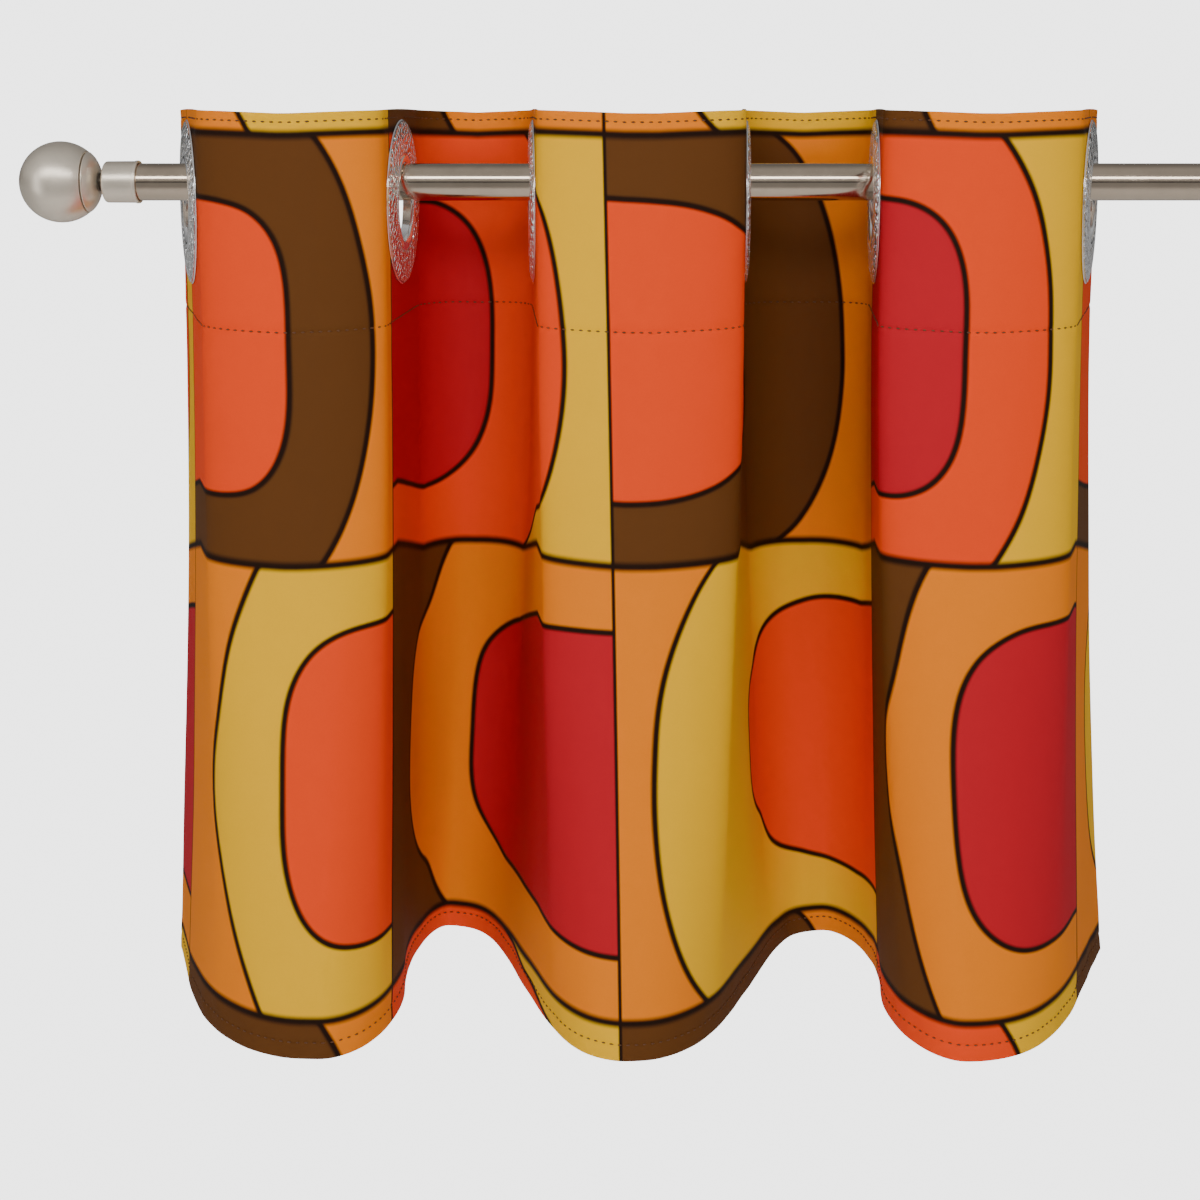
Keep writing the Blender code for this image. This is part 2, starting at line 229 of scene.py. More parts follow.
def blendColors(tree, share, first, second, kind="MIX"):
    step = tree.nodes.new("ShaderNodeMix")
    step.data_type = "RGBA"
    step.blend_type = kind
    step.clamp_factor = True
    feed(tree, step.inputs["Factor"], share)
    feed(tree, step.inputs["A"], first)
    feed(tree, step.inputs["B"], second)
    return step.outputs["Result"]


def blendNumbers(tree, share, first, second):
    step = tree.nodes.new("ShaderNodeMix")
    step.data_type = "FLOAT"
    feed(tree, step.inputs["Factor"], share)
    feed(tree, step.inputs["A"], first)
    feed(tree, step.inputs["B"], second)
    return step.outputs["Result"]


def noiseOn(tree, place, scale, detail=2.0, roughness=0.5):
    step = tree.nodes.new("ShaderNodeTexNoise")
    feed(tree, step.inputs["Vector"], place)
    step.inputs["Scale"].default_value = scale
    step.inputs["Detail"].default_value = detail
    step.inputs["Roughness"].default_value = roughness
    return step


def bumpFrom(tree, height, strength, distance, under=None):
    step = tree.nodes.new("ShaderNodeBump")
    feed(tree, step.inputs["Height"], height)
    step.inputs["Strength"].default_value = strength
    step.inputs["Distance"].default_value = distance
    if under is not None:
        tree.links.new(under, step.inputs["Normal"])
    return step.outputs["Normal"]


def mapNamed(tree, name):
    step = tree.nodes.new("ShaderNodeUVMap")
    step.uv_map = name
    return step.outputs["UV"]


def splitVector(tree, vector):
    step = tree.nodes.new("ShaderNodeSeparateXYZ")
    tree.links.new(vector, step.inputs[0])
    return step.outputs


makeFloor(floorSettings)
makeSky(lightSettings)
makeLamps(lightSettings)
print("camera, floor and lights are set")


# ---- the print on the cloth

printSettings = {
    "yellow": (0.90, 0.475, 0.004, 1),
    "orange": (0.88, 0.222, 0.003, 1),
    "redOrange": (0.90, 0.062, 0.006, 1),
    "red": (0.51, 0.010, 0.020, 1),
    "brown": (0.118, 0.040, 0.007, 1),
    "line": (0.014, 0.004, 0.001, 1),
    # right-hand reach, half height and squareness of the two nested shapes, plain and mirrored rows
    "ring": ((0.865, 0.66, 2.2), (0.890, 0.72, 2.2)),
    "core": ((0.475, 0.350, 3.2), (0.580, 0.357, 3.2)),
    "shapeLine": (0.0012, 0.0013),  # half widths of the drawn lines and their soft edges, in metres
    "rowLine": (0.0015, 0.0022),
    "columnLine": (0.0007, 0.0007),
    "colorEdge": 0.0012,
    "wobble": 0.028,
    "faded": (0.42, (0.80, 0.74, 0.66, 1)),  # how far the reverse goes towards bare cotton
    "threadPitch": 0.00045,
}


def nestedShape(tree, across, off, mirrored, scales, sizes):
    # metres outside a squared-off oval, negative inside
    reach, half, power = (blendNumbers(tree, mirrored, a, b) for a, b in zip(*sizes))
    less = maths(tree, "SUBTRACT", power, 1.0)
    u, v = maths(tree, "DIVIDE", across, reach), maths(tree, "DIVIDE", off, half)
    total = maths(tree, "ADD", maths(tree, "POWER", u, power), maths(tree, "POWER", v, power))
    size = maths(tree, "POWER", maths(tree, "MAXIMUM", total, 0.0001), maths(tree, "DIVIDE", 1.0, power))
    slopes = []
    for share, length, scale in ((u, reach, scales[0]), (v, half, scales[1])):
        slope = maths(tree, "DIVIDE", maths(tree, "MULTIPLY", maths(tree, "POWER", share, less), scale), length)
        slopes.append(maths(tree, "MULTIPLY", slope, slope))
    slope = maths(tree, "SQRT", maths(tree, "ADD", *slopes))
    slope = maths(tree, "DIVIDE", slope, maths(tree, "POWER", size, less))
    return maths(tree, "DIVIDE", maths(tree, "SUBTRACT", size, 1.0), maths(tree, "MAXIMUM", slope, 0.5))


def lineAt(tree, distance, half, soft):
    return ramp(tree, maths(tree, "ABSOLUTE", distance), half - soft / 2, half + soft, 1.0, 0.0)


def drawPrint(tree, s):
    place = mapNamed(tree, "printMap")
    scales = splitVector(tree, mapNamed(tree, "printScale"))  # columns and rows per metre
    wobble = noiseOn(tree, place, 1.7, 1.0)
    drift = splitVector(tree, wobble.outputs["Color"])
    column, row, _ = splitVector(tree, place)
    swayX = maths(tree, "MULTIPLY", maths(tree, "SUBTRACT", drift[0], 0.5), s["wobble"] * 2)
    swayY = maths(tree, "MULTIPLY", maths(tree, "SUBTRACT", drift[1], 0.5), s["wobble"])
    shapeColumn = maths(tree, "ADD", column, swayX)
    oddColumn = maths(tree, "FLOORED_MODULO", maths(tree, "FLOOR", column), 2.0)
    oddRow = maths(tree, "FLOORED_MODULO", maths(tree, "FLOOR", row), 2.0)
    fromLeft = maths(tree, "SUBTRACT", shapeColumn, maths(tree, "FLOOR", column))
    fromRight = maths(tree, "SUBTRACT", 1.0, fromLeft)
    across = maths(tree, "MAXIMUM", blendNumbers(tree, oddRow, fromLeft, fromRight), 0.0)
    rowShare = maths(tree, "ADD", maths(tree, "FRACT", row), swayY)
    off = maths(tree, "ABSOLUTE", maths(tree, "SUBTRACT", rowShare, 0.5))
    ring = nestedShape(tree, across, off, oddRow, scales, s["ring"])
    core = nestedShape(tree, across, off, oddRow, scales, s["core"])

    def cell(plainEven, plainOdd, mirroredEven, mirroredOdd):
        plain = blendColors(tree, oddColumn, s[plainEven], s[plainOdd])
        mirrored = blendColors(tree, oddColumn, s[mirroredEven], s[mirroredOdd])
        return blendColors(tree, oddRow, plain, mirrored)

    ground = cell("orange", "yellow", "orange", "brown")
    ringColor = cell("brown", "redOrange", "yellow", "orange")
    coreColor = cell("redOrange", "red", "redOrange", "red")
    edge = s["colorEdge"]
    color = blendColors(tree, ramp(tree, ring, edge / 2, -edge / 2), ground, ringColor)
    color = blendColors(tree, ramp(tree, core, edge / 2, -edge / 2), color, coreColor)
    rowGap = maths(tree, "DIVIDE", maths(tree, "SUBTRACT", row, maths(tree, "ROUND", row)), scales[1])
    columnGap = maths(tree, "DIVIDE", maths(tree, "SUBTRACT", column, maths(tree, "ROUND", column)), scales[0])
    drawn = ((ring, "shapeLine"), (core, "shapeLine"), (rowGap, "rowLine"), (columnGap, "columnLine"))
    for distance, line in drawn:
        color = blendColors(tree, lineAt(tree, distance, *s[line]), color, s["line"])
    return color


def weaveBump(tree, strength):
    # crossing threads
    sheetPlace = mapNamed(tree, "weaveMap")
    x, y, _ = splitVector(tree, sheetPlace)
    turns = math.tau / printSettings["threadPitch"]
    warp = maths(tree, "SINE", maths(tree, "MULTIPLY", x, turns))
    weft = maths(tree, "SINE", maths(tree, "MULTIPLY", y, turns))
    weave = maths(tree, "MULTIPLY", warp, weft)
    slub = noiseOn(tree, sheetPlace, 900.0, 2.0).outputs["Fac"]
    threads = maths(tree, "ADD", weave, slub)
    fine = bumpFrom(tree, threads, strength, 0.00008)
    soft = noiseOn(tree, sheetPlace, 38.0, 3.0, 0.45).outputs["Fac"]
    return bumpFrom(tree, soft, 0.35, 0.0012, fine), threads


def clothFinish(name, reverse):
    finish, tree, shader = newFinish(name)
    color = drawPrint(tree, printSettings)
    if reverse:
        share, cotton = printSettings["faded"]
        color = blendColors(tree, share, color, cotton)
    normal, threads = weaveBump(tree, 0.35)
    # the base colour is lighter on the threads' crowns and darker where they sink, following the weave's bump
    # height: painted light and shade in the weave, mixed with the slub's random tone
    shade = ramp(tree, threads, -1.0, 2.0, 0.93, 1.03)
    color = blendColors(tree, 1.0, color, shade, "MULTIPLY")
    feed(tree, shader.inputs["Base Color"], color)
    tree.links.new(normal, shader.inputs["Normal"])
    shader.inputs["Roughness"].default_value = 0.72
    shader.inputs["Specular IOR Level"].default_value = 0.14
    return finish


printedFront = clothFinish("printedFront", False)
printedReverse = clothFinish("printedReverse", True)


# ---- the cloth

clothSettings = {
    "thickness": 0.0008,
    "straight": 0.042,  # flat cloth on each side of the rod, where an eyelet is set
    "margin": 0.050,  # from the outer eyelets to the side edges
    "eyeletTurn": (18, -4, 3.5, -4, -6, -20),  # degrees, as the eyelets stand
    "headerDepth": (0.0585, 0.0700, 0.0585, 0.0700, 0.0585),
    "hemCross": (0.000, 0.109, 0.1725, 0.286, 0.355, 0.458),  # where the hem passes under the rod
    "hemTurn": (21, 4, 20, -26, -9, -28),
    "hemCrest": ((0.075, 0.0640), (0.126, 0.0690), (0.223, 0.0655), (0.333, 0.0640), (0.385, 0.0655)),
    "hang": 1.010,  # the cloth's own weight lets it hang a little longer
    "hemFlare": 1.055,
    "headerHeight": 0.104,  # top edge to the header seam
    "spanColumns": 72,
    "edgeColumns": 18,
    # where the rows stand closer: (from, to, steps), in metres down from the top; the last ends at the foot
    "rowStretches": (
        (0, 0.010, 10), (0.010, 0.096, 28), (0.096, 0.112, 16), (0.112, 0.440, 104), (0.440, None, 17),
    ),
    "sag": 0.0020,
    "ripple": 0.0011,
    "seams": (
        # depth from the top (or up from the foot), reach, groove, pucker, spacing of the gathers
        (0.0042, 0.004, 0.00025, 0.0003, 0.012),
        (0.1040, 0.010, 0.00035, 0.0006, 0.016),
        (-0.0085, 0.008, 0.00035, 0.0009, 0.014),
    ),
    "seamGroove": 0.0012,  # width of the groove that a row of stitches pulls in
    "sideHem": 0.012,
    "footHem": 0.009,
    "layer": 0.0004,  # a hem's second layer stands this far out on the reverse
    "holeRadius": 0.0245,
    # (metres along the cloth, columns of the print passed)
    "printColumns": (
        (0.000, -0.20), (0.047, 0.02), (0.102, 0.121), (0.121, 0.26), (0.144, 0.47), (0.183, 0.86),
        (0.204, 1.00), (0.235, 1.066), (0.297, 1.204), (0.331, 1.47), (0.365, 1.649), (0.458, 1.766),
        (0.472, 1.86), (0.494, 2.00), (0.543, 2.29), (0.565, 2.40), (0.657, 2.47), (0.697, 2.652),
        (0.725, 2.86), (0.744, 2.947), (0.810, 3.05), (0.845, 3.14), (0.880, 3.47), (0.923, 3.86),
        (0.950, 3.976), (0.984, 4.01), (1.038, 4.20),
    ),
    # (metres down from the top, rows of the print passed)
    "printRows": ((0.0, -0.05), (0.010, 0.0), (0.218, 1.0), (0.450, 2.0), (0.480, 2.12)),
    "rowDip": 0.020,  # the print hangs lower in the back folds
    "slant": 0.064,  # lean of the middle column line, top to foot
    "blendInset": 0.006,  # a distance from an eyelet, in metres
}


def unit(turn, side):
    # along the cloth at an eyelet; side -1 is towards the room
    angle = math.radians(turn)
    return np.array((-side * math.sin(angle), side * math.cos(angle)))


def bendTo(start, direction, crest, steps=40):
    # quarter of an oval that leaves along direction and arrives level at the crest
    tight = 0.5523
    reach = abs(crest[1] - start[1])
    level = np.array((crest[0] - (crest[0] - start[0]) * tight, crest[1]))
    corners = [start, start + direction * reach * tight, level, crest]
    t = np.linspace(0, 1, steps)[:, None]
    weights = ((1 - t) ** 3, 3 * t * (1 - t) ** 2, 3 * t * t * (1 - t), t**3)
    return sum(w * corner for w, corner in zip(weights, corners))


def evenly(line, count):
    # the same line with count equal steps
    steps = np.r_[0, np.cumsum(np.linalg.norm(np.diff(line, axis=0), axis=1))]
    at = np.linspace(0, steps[-1], count + 1)
    return np.stack([np.interp(at, steps, line[:, k]) for k in (0, 1)], axis=1)


def foldLine(left, leftTurn, right, rightTurn, crest, straight, count):
    side = 1 if crest[1] > 0 else -1
    outwards, inwards = unit(leftTurn, side), unit(rightTurn, side)
    rise = left + outwards * straight
    fall = right + inwards * straight
    going = bendTo(rise, outwards, crest)
    coming = bendTo(fall, inwards, crest)[::-1]
    ends = [left[None], going, coming[1:], right[None]] if straight else [going, coming[1:]]
    return evenly(np.concatenate(ends), count)


def acrossCurtain(s, level):
    # the cloth's line seen from above, at the header (level 0) or the hem (level 1)
    crosses = [c.x - eyeletCenters[0].x for c in eyeletCenters]
    turns = s["eyeletTurn"]
    straight = s["straight"]
    if level:
        middle = (crosses[0] + crosses[-1]) / 2
        flare = s["hemFlare"]
        crosses = [middle + (x - middle) * flare for x in s["hemCross"]]
        turns = s["hemTurn"]
        straight = 0
        crests = [(middle + (x - middle) * flare, y * flare) for x, y in s["hemCrest"]]
    points = [np.array((x, 0.0)) for x in crosses]
    parts = []
    first = points[0] + unit(turns[0], 1) * s["margin"]
    last = points[-1] + unit(turns[-1], 1) * s["margin"]
    parts.append(evenly(np.stack([first, points[0]]), s["edgeColumns"]))
    for k in range(5):
        side = 1 if k % 2 else -1
        if level:
            crest = np.array((crests[k][0], side * crests[k][1]))
        else:
            ends = [points[n] + unit(turns[n], side) * straight for n in (k, k + 1)]
            crest = np.array(((ends[0][0] + ends[1][0]) / 2, side * s["headerDepth"][k]))
        parts.append(foldLine(points[k], turns[k], points[k + 1], turns[k + 1], crest, straight, s["spanColumns"]))
    parts.append(evenly(np.stack([points[-1], last]), s["edgeColumns"]))
    return np.concatenate([parts[0]] + [part[1:] for part in parts[1:]])


class Drape:
    # the hanging cloth as a grid of places; columns run along the curtain, rows run down it

    def __init__(self, s):
        header = acrossCurtain(s, 0)
        hem = acrossCurtain(s, 1)
        self.height = clothTop - clothFoot
        stretches = [np.linspace(a, b or self.height, n + 1) for a, b, n in s["rowStretches"]]
        self.depths = np.unique(np.concatenate(stretches).round(6))
        self.arcs = np.r_[0, np.cumsum(np.linalg.norm(np.diff(header, axis=0), axis=1))]
        below = np.clip((self.depths - s["headerHeight"]) / (self.height - s["headerHeight"]), 0, 1)
        level = below**1.5
        self.eyeletColumns = [s["edgeColumns"] + s["spanColumns"] * k for k in range(6)]
        self.eyeletArcs = self.arcs[self.eyeletColumns]
        plan = header[:, None] * (1 - level)[None, :, None] + hem[:, None] * level[None, :, None]
        self.points = np.empty((len(self.arcs), len(self.depths), 3))
        self.points[..., 0] = plan[..., 0] + eyeletCenters[0].x
        self.points[..., 1] = plan[..., 1] + rodAxis.y
        self.points[..., 2] = clothTop - self.depths[None, :] * s["hang"]
        self.back = np.clip((plan[..., 1] + 0.02) / 0.07, 0, 1)
        self.slacken(s)
        self.points += self.facing() * self.creases(s)[..., None]
        self.normals = self.facing()

    def facing(self):
        # towards the printed side
        down = np.gradient(self.points, self.depths, axis=1)
        along = np.gradient(self.points, self.arcs, axis=0)
        normal = np.cross(down, along)
        return normal / np.linalg.norm(normal, axis=2, keepdims=True)

    def eyeletNearness(self):
        away = np.abs(self.arcs[:, None] - self.eyeletArcs[None, :]).min(axis=1)
        high = clothTop - eyeletCenters[0].z
        distance = np.hypot(away[:, None], self.depths[None, :] - high)
        return np.clip((distance - 0.043) / 0.030, 0, 1)

    def slacken(self, s):
        # the top edge dips a little between eyelets, and the foot isn't dead level
        away = np.abs(self.arcs[:, None] - self.eyeletArcs[None, :]).min(axis=1)
        dip = s["sag"] * np.clip(away / 0.09, 0, 1) ** 2
        self.points[..., 2] -= dip[:, None] * (1 - 0.5 * self.depths / self.height)[None, :]

    def creases(self, s):
        out = np.empty(self.points.shape[:2])
        for c, arc in enumerate(self.arcs):
            for r, depth in enumerate(self.depths):
                wide = noise.noise((arc * 14, depth * 5, 3.1))
                out[c, r] = wide + 0.5 * noise.noise((arc * 33, depth * 11, 8.4))
        grow = 0.35 + 0.65 * (self.depths / self.height)[None, :]
        out *= s["ripple"] * grow
        for seam, reach, groove, pucker, pitch in s["seams"]:
            depth = seam if seam > 0 else self.height + seam
            gap = self.depths - depth
            near = np.exp(-((gap / reach) ** 2))
            cut = np.exp(-((gap / s["seamGroove"]) ** 2))
            gathers = np.array([noise.noise((arc / pitch, seam * 40, 1.7)) for arc in self.arcs])
            out += pucker * gathers[:, None] * near[None, :] - groove * cut[None, :]
        return out * self.eyeletNearness()

    def at(self, arc, depth):
        # place, direction along the cloth and normal
        c = float(np.interp(arc, self.arcs, np.arange(len(self.arcs))))
        r = float(np.interp(depth, self.depths, np.arange(len(self.depths))))
        c0, r0 = min(int(c), len(self.arcs) - 2), min(int(r), len(self.depths) - 2)
        u, v = c - c0, r - r0
        corner = self.points[c0:c0 + 2, r0:r0 + 2]
        upper = corner[0, 0] * (1 - u) + corner[1, 0] * u
        lower = corner[0, 1] * (1 - u) + corner[1, 1] * u
        place = upper * (1 - v) + lower * v
        along = Vector(corner[1, 0] - corner[0, 0]).normalized()
        return Vector(place), along, Vector(self.normals[c0, r0]).normalized()


def eased(x, knots, reach):
    # passes near the knots with its corners rounded over reach
    at, value = zip(*knots)
    fine = np.linspace(at[0], at[-1], 1200)
    raw = np.interp(fine, at, value)
    half = max(1, int(reach / (fine[1] - fine[0])))
    soft = np.exp(-np.linspace(-2, 2, 2 * half + 1) ** 2)
    before = raw[0] - (raw[1] - raw[0]) * np.arange(half, 0, -1)
    after = raw[-1] + (raw[-1] - raw[-2]) * np.arange(1, half + 1)
    smooth = np.convolve(np.r_[before, raw, after], soft / soft.sum(), "valid")
    return np.interp(x, fine, smooth)


def printPlaces(drape, s):
    # where each grid point lies in the print, in columns and rows, and how many of each pass in a metre
    column = np.repeat(eased(drape.arcs, s["printColumns"], 0.011)[:, None], len(drape.depths), axis=1)
    dip = s["rowDip"] * np.sin(np.pi * np.clip(drape.depths / 0.50, 0, 1))[None, :] * drape.back
    row = eased(drape.depths[None, :] - dip, s["printRows"], 0.040)
    lean = s["slant"] * (drape.depths / drape.height)[None, :] * np.exp(-((column - 2) / 0.5) ** 2)
    column = column - lean
    columnPace = np.gradient(column, drape.arcs, axis=0)
    rowPace = np.gradient(row, drape.depths, axis=1)
    return np.stack([column, row, columnPace, rowPace], axis=2)


drape = Drape(clothSettings)
printGrid = printPlaces(drape, clothSettings)
print("the cloth hangs,", round(float(drape.arcs[-1]), 3), "m of it")


def bake(obj):
    # applies every modifier
    bpy.context.view_layer.update()
    graph = bpy.context.evaluated_depsgraph_get()
    shown = obj.evaluated_get(graph)
    finished = bpy.data.meshes.new_from_object(shown, preserve_all_data_layers=True, depsgraph=graph)
    finished.name = obj.name
    obj.modifiers.clear()
    obj.data = finished
    return obj


def addPiece(name, shape, *finishes):
    mesh = bpy.data.meshes.new(name)
    shape.to_mesh(mesh)
    shape.free()
    for finish in finishes:
        mesh.materials.append(finish)
    piece = bpy.data.objects.new(name, mesh)
    bpy.context.collection.objects.link(piece)
    mesh.shade_smooth()
    return piece


def clothStretch(name, first, last, s):
    # columns first to last of the drape as one closed piece of cloth
    wide, tall = last - first, len(drape.depths) - 1
    shape = bmesh.new()
    bmesh.ops.create_grid(shape, x_segments=wide, y_segments=tall, size=1)
    printMap = shape.loops.layers.uv.new("printMap")
    printScale = shape.loops.layers.uv.new("printScale")
    weaveMap = shape.loops.layers.uv.new("weaveMap")
    columnLayer = shape.verts.layers.int.new("column")
    rowLayer = shape.verts.layers.int.new("row")
    for vert in shape.verts:
        c = first + round((vert.co.x + 1) / 2 * wide)
        r = round((1 - vert.co.y) / 2 * tall)
        vert[columnLayer], vert[rowLayer] = c, r
        vert.co = drape.points[c, r]
    for face in shape.faces:
        for loop in face.loops:
            c, r = loop.vert[columnLayer], loop.vert[rowLayer]
            loop[printMap].uv = printGrid[c, r, :2]
            loop[printScale].uv = printGrid[c, r, 2:]
            loop[weaveMap].uv = (drape.arcs[c], drape.depths[r])
    shape.normal_update()
    sample = shape.faces[:][len(shape.faces) // 2]
    vert = sample.verts[0]
    if sample.normal.dot(Vector(drape.normals[vert[columnLayer], vert[rowLayer]])) < 0:
        bmesh.ops.reverse_faces(shape, faces=shape.faces[:])
    cutHoles(shape, s["holeRadius"])
    piece = addPiece(name, shape, printedFront, printedReverse)
    wall = piece.modifiers.new("thickness", "SOLIDIFY")
    wall.thickness = s["thickness"]
    wall.offset = 0
    wall.material_offset = 1
    bake(piece)
    foldHems(piece, s)
    return piece


def cutHoles(shape, radius):
    # round holes for the eyelets; their flanges cover the edge
    for center in eyeletCenters:
        inside = [f for f in shape.faces if (f.calc_center_median() - center).length < radius]
        if not inside:
            continue
        bmesh.ops.delete(shape, geom=inside, context="FACES")
        for vert in shape.verts:
            away = vert.co - center
            if vert.is_boundary and away.length < radius + 0.006:
                vert.co = center + away.normalized() * radius


def foldHems(piece, s):
    # the reverse is a second layer thick at the header, the foot and the side edges
    mesh = piece.data
    columns = mesh.attributes["column"].data
    rows = mesh.attributes["row"].data
    normals = []
    for vert in mesh.vertices:
        c, r = columns[vert.index].value, rows[vert.index].value
        normal = Vector(drape.normals[c, r])
        if vert.normal.dot(normal) < 0:
            depth, arc = drape.depths[r], drape.arcs[c]
            doubled = depth < s["headerHeight"] or depth > drape.height - s["footHem"]
            doubled = doubled or min(arc, drape.arcs[-1] - arc) < s["sideHem"]
            normal = -normal
            if doubled:
                vert.co += normal * s["layer"]
        normals.append(normal)
    mesh.update()
    mesh.normals_split_custom_set_from_vertices(normals)


clothParts = (
    # name and the two eyelets it hangs from, counted from 0
    ("curtainLeftEdge", 0, 0),
    ("curtainFrontFold1", 0, 1),
    ("curtainBackFold1", 1, 2),
    ("curtainFrontFold2", 2, 3),
    ("curtainBackFold2", 3, 4),
    ("curtainFrontFold3", 4, 5),
    ("curtainRightEdge", 5, 5),
)


def follow(piece, start, end):
    # the side edges ride with their eyelet; the cloth between two eyelets stays where it hangs
    if start == end:
        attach(piece, f"eyelet_{start + 1}")
        return
    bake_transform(piece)


def partRange(index):
    # grid columns of one part of the cloth
    stops = [0, *drape.eyeletColumns, len(drape.arcs) - 1]
    return stops[index], stops[index + 1]


def hangCurtain(s):
    for index, (name, start, end) in enumerate(clothParts):
        first, last = partRange(index)
        piece = clothStretch(name, first, last, s)
        follow(piece, start, end)
        stands = [f"cloth_wall_{n}" for n in sorted({start + 1, end + 1})]
        if start != end:
            kind, number = ("front", start // 2 + 1) if start % 2 == 0 else ("back", (start + 1) // 2)
            stands.append(f"cloth_{kind}_fold_{number}")
        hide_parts(*stands)
        stitches = sewSeams(name.replace("curtain", "stitches"), index)
        follow(stitches, start, end)


# ---- metal finishes

metalSettings = {
    # colour, roughness, brushing, scale of the brushing (x runs along the rod), metallic
    "satinNickel": ((0.90, 0.80, 0.66), 0.34, 0.06, (500, 900, 900), 0.80),
    "polishedNickel": ((0.66, 0.54, 0.42), 0.12, 0.05, (900, 40, 40), 1.0),
    # near-black colour for the finial stud's neck: painted shade in the narrow waist between the collar and the cap
    "neckShadeNickel": ((0.10, 0.085, 0.07), 0.42, 0.06, (300, 300, 300), 0.9),
    "zincSteel": ((0.58, 0.59, 0.61), 0.30, 0.08, (400, 400, 400), 0.95),
}
chromeSettings = {
    "color": (0.95, 0.95, 0.95),
    "roughness": 0.09,
    "dimples": 400.0,  # per metre
    "dimpleDepth": 0.0030,
    "hammeredFrom": 0.0252,  # radius where the smooth inner rim ends
    "hammeredTo": 0.0408,
    "metallic": 0.88,
}


def objectPlace(tree, scale=(1, 1, 1)):
    place = tree.nodes.new("ShaderNodeTexCoord").outputs["Object"]
    step = tree.nodes.new("ShaderNodeMapping")
    tree.links.new(place, step.inputs["Vector"])
    step.inputs["Scale"].default_value = scale
    return step.outputs["Vector"]


def metalFinish(name, color, roughness, brushing, scale, metallic):
    finish, tree, shader = newFinish(name)
    grain = noiseOn(tree, objectPlace(tree, scale), 1.0, 3.0, 0.6).outputs["Fac"]
    clouds = noiseOn(tree, objectPlace(tree), 70.0, 3.0, 0.55).outputs["Fac"]
    dull = tuple(0.90 * c for c in color)
    mottled = blendColors(tree, ramp(tree, clouds, 0.3, 0.7), (*dull, 1), (*color, 1))
    feed(tree, shader.inputs["Base Color"], mottled)
    rough = ramp(tree, grain, 0.25, 0.75, roughness - brushing / 2, roughness + brushing / 2)
    rough = maths(tree, "ADD", rough, ramp(tree, clouds, 0.45, 0.75, 0.0, 0.04))
    feed(tree, shader.inputs["Roughness"], rough)
    tree.links.new(bumpFrom(tree, grain, 0.05, 0.00002), shader.inputs["Normal"])
    shader.inputs["Metallic"].default_value = metallic
    return finish


def chromeFinish(s):
    finish, tree, shader = newFinish("hammeredChrome")
    radius = splitVector(tree, mapNamed(tree, "ringMap"))[0]
    inner = ramp(tree, radius, s["hammeredFrom"] - 0.0006, s["hammeredFrom"])
    outer = ramp(tree, radius, s["hammeredTo"], s["hammeredTo"] + 0.0006, 1.0, 0.0)
    zone = maths(tree, "MULTIPLY", inner, outer)
    dimples = tree.nodes.new("ShaderNodeTexVoronoi")
    dimples.feature = "SMOOTH_F1"
    dimples.inputs["Smoothness"].default_value = 0.35
    dimples.inputs["Scale"].default_value = s["dimples"]
    tree.links.new(objectPlace(tree), dimples.inputs["Vector"])
    height = maths(tree, "MULTIPLY", dimples.outputs["Distance"], zone)
    scuffs = noiseOn(tree, objectPlace(tree), 240.0, 4.0, 0.6).outputs["Fac"]
    feed(tree, shader.inputs["Base Color"], (*s["color"], 1))
    rough = ramp(tree, scuffs, 0.35, 0.75, s["roughness"] - 0.02, s["roughness"] + 0.09)
    feed(tree, shader.inputs["Roughness"], rough)
    fine = bumpFrom(tree, scuffs, 0.08, 0.00004)
    tree.links.new(bumpFrom(tree, height, 1.0, s["dimpleDepth"], fine), shader.inputs["Normal"])
    shader.inputs["Metallic"].default_value = s["metallic"]
    return finish


satinNickel = metalFinish("satinNickel", *metalSettings["satinNickel"])
polishedNickel = metalFinish("polishedNickel", *metalSettings["polishedNickel"])
neckShadeNickel = metalFinish("neckShadeNickel", *metalSettings["neckShadeNickel"])
zincSteel = metalFinish("zincSteel", *metalSettings["zincSteel"])
hammeredChrome = chromeFinish(chromeSettings)


def threadFinish():
    finish, tree, shader = newFinish("sewingThread")
    twist = noiseOn(tree, objectPlace(tree), 2600.0, 2.0).outputs["Fac"]
    brown = blendColors(tree, twist, (0.070, 0.022, 0.006, 1), (0.150, 0.055, 0.016, 1))
    feed(tree, shader.inputs["Base Color"], brown)
    tree.links.new(bumpFrom(tree, twist, 0.4, 0.0001), shader.inputs["Normal"])
    shader.inputs["Roughness"].default_value = 0.6
    return finish


sewingThread = threadFinish()


# ---- sewing

stitchSettings = {
    "pitch": 0.0042,
    "long": 0.0022,
    "thick": 0.00034,
    "out": 0.00065,  # from the middle of the cloth
    "endGap": 0.0012,  # a stretch of cloth starts and ends between two stitches
    "sideGap": 0.006,
    "ringGap": 0.0435,  # no stitches under an eyelet
}


def sewSeams(name, index):
    # every seam of one part of the cloth, on its face and on its reverse
    s = stitchSettings
    first, last = partRange(index)
    start, end = drape.arcs[first], drape.arcs[last]
    shape = bmesh.new()
    for seam, _, _, _, _ in clothSettings["seams"]:
        depth = seam if seam > 0 else drape.height + seam
        begin = max(start, s["sideGap"]) + s["endGap"]
        finish = min(end, drape.arcs[-1] - s["sideGap"]) - s["endGap"]
        for k in range(math.ceil(begin / s["pitch"]), math.floor(finish / s["pitch"]) + 1):
            place, along, normal = drape.at(k * s["pitch"], depth)
            if min((place - center).length for center in eyeletCenters) < s["ringGap"]:
                continue
            for side in (1, -1):
                out = normal * side
                lie = Matrix((along, out, along.cross(out))).transposed().to_4x4()
                lie.translation = place + out * s["out"]
                shrink = Matrix.Diagonal((s["long"] / 2, s["thick"], s["thick"] * 1.3, 1))
                bmesh.ops.create_icosphere(shape, subdivisions=1, radius=1, matrix=lie @ shrink)
    return addPiece(name, shape, sewingThread)


hangCurtain(clothSettings)
print("cloth is hung and sewn")


# ---- turned metal pieces

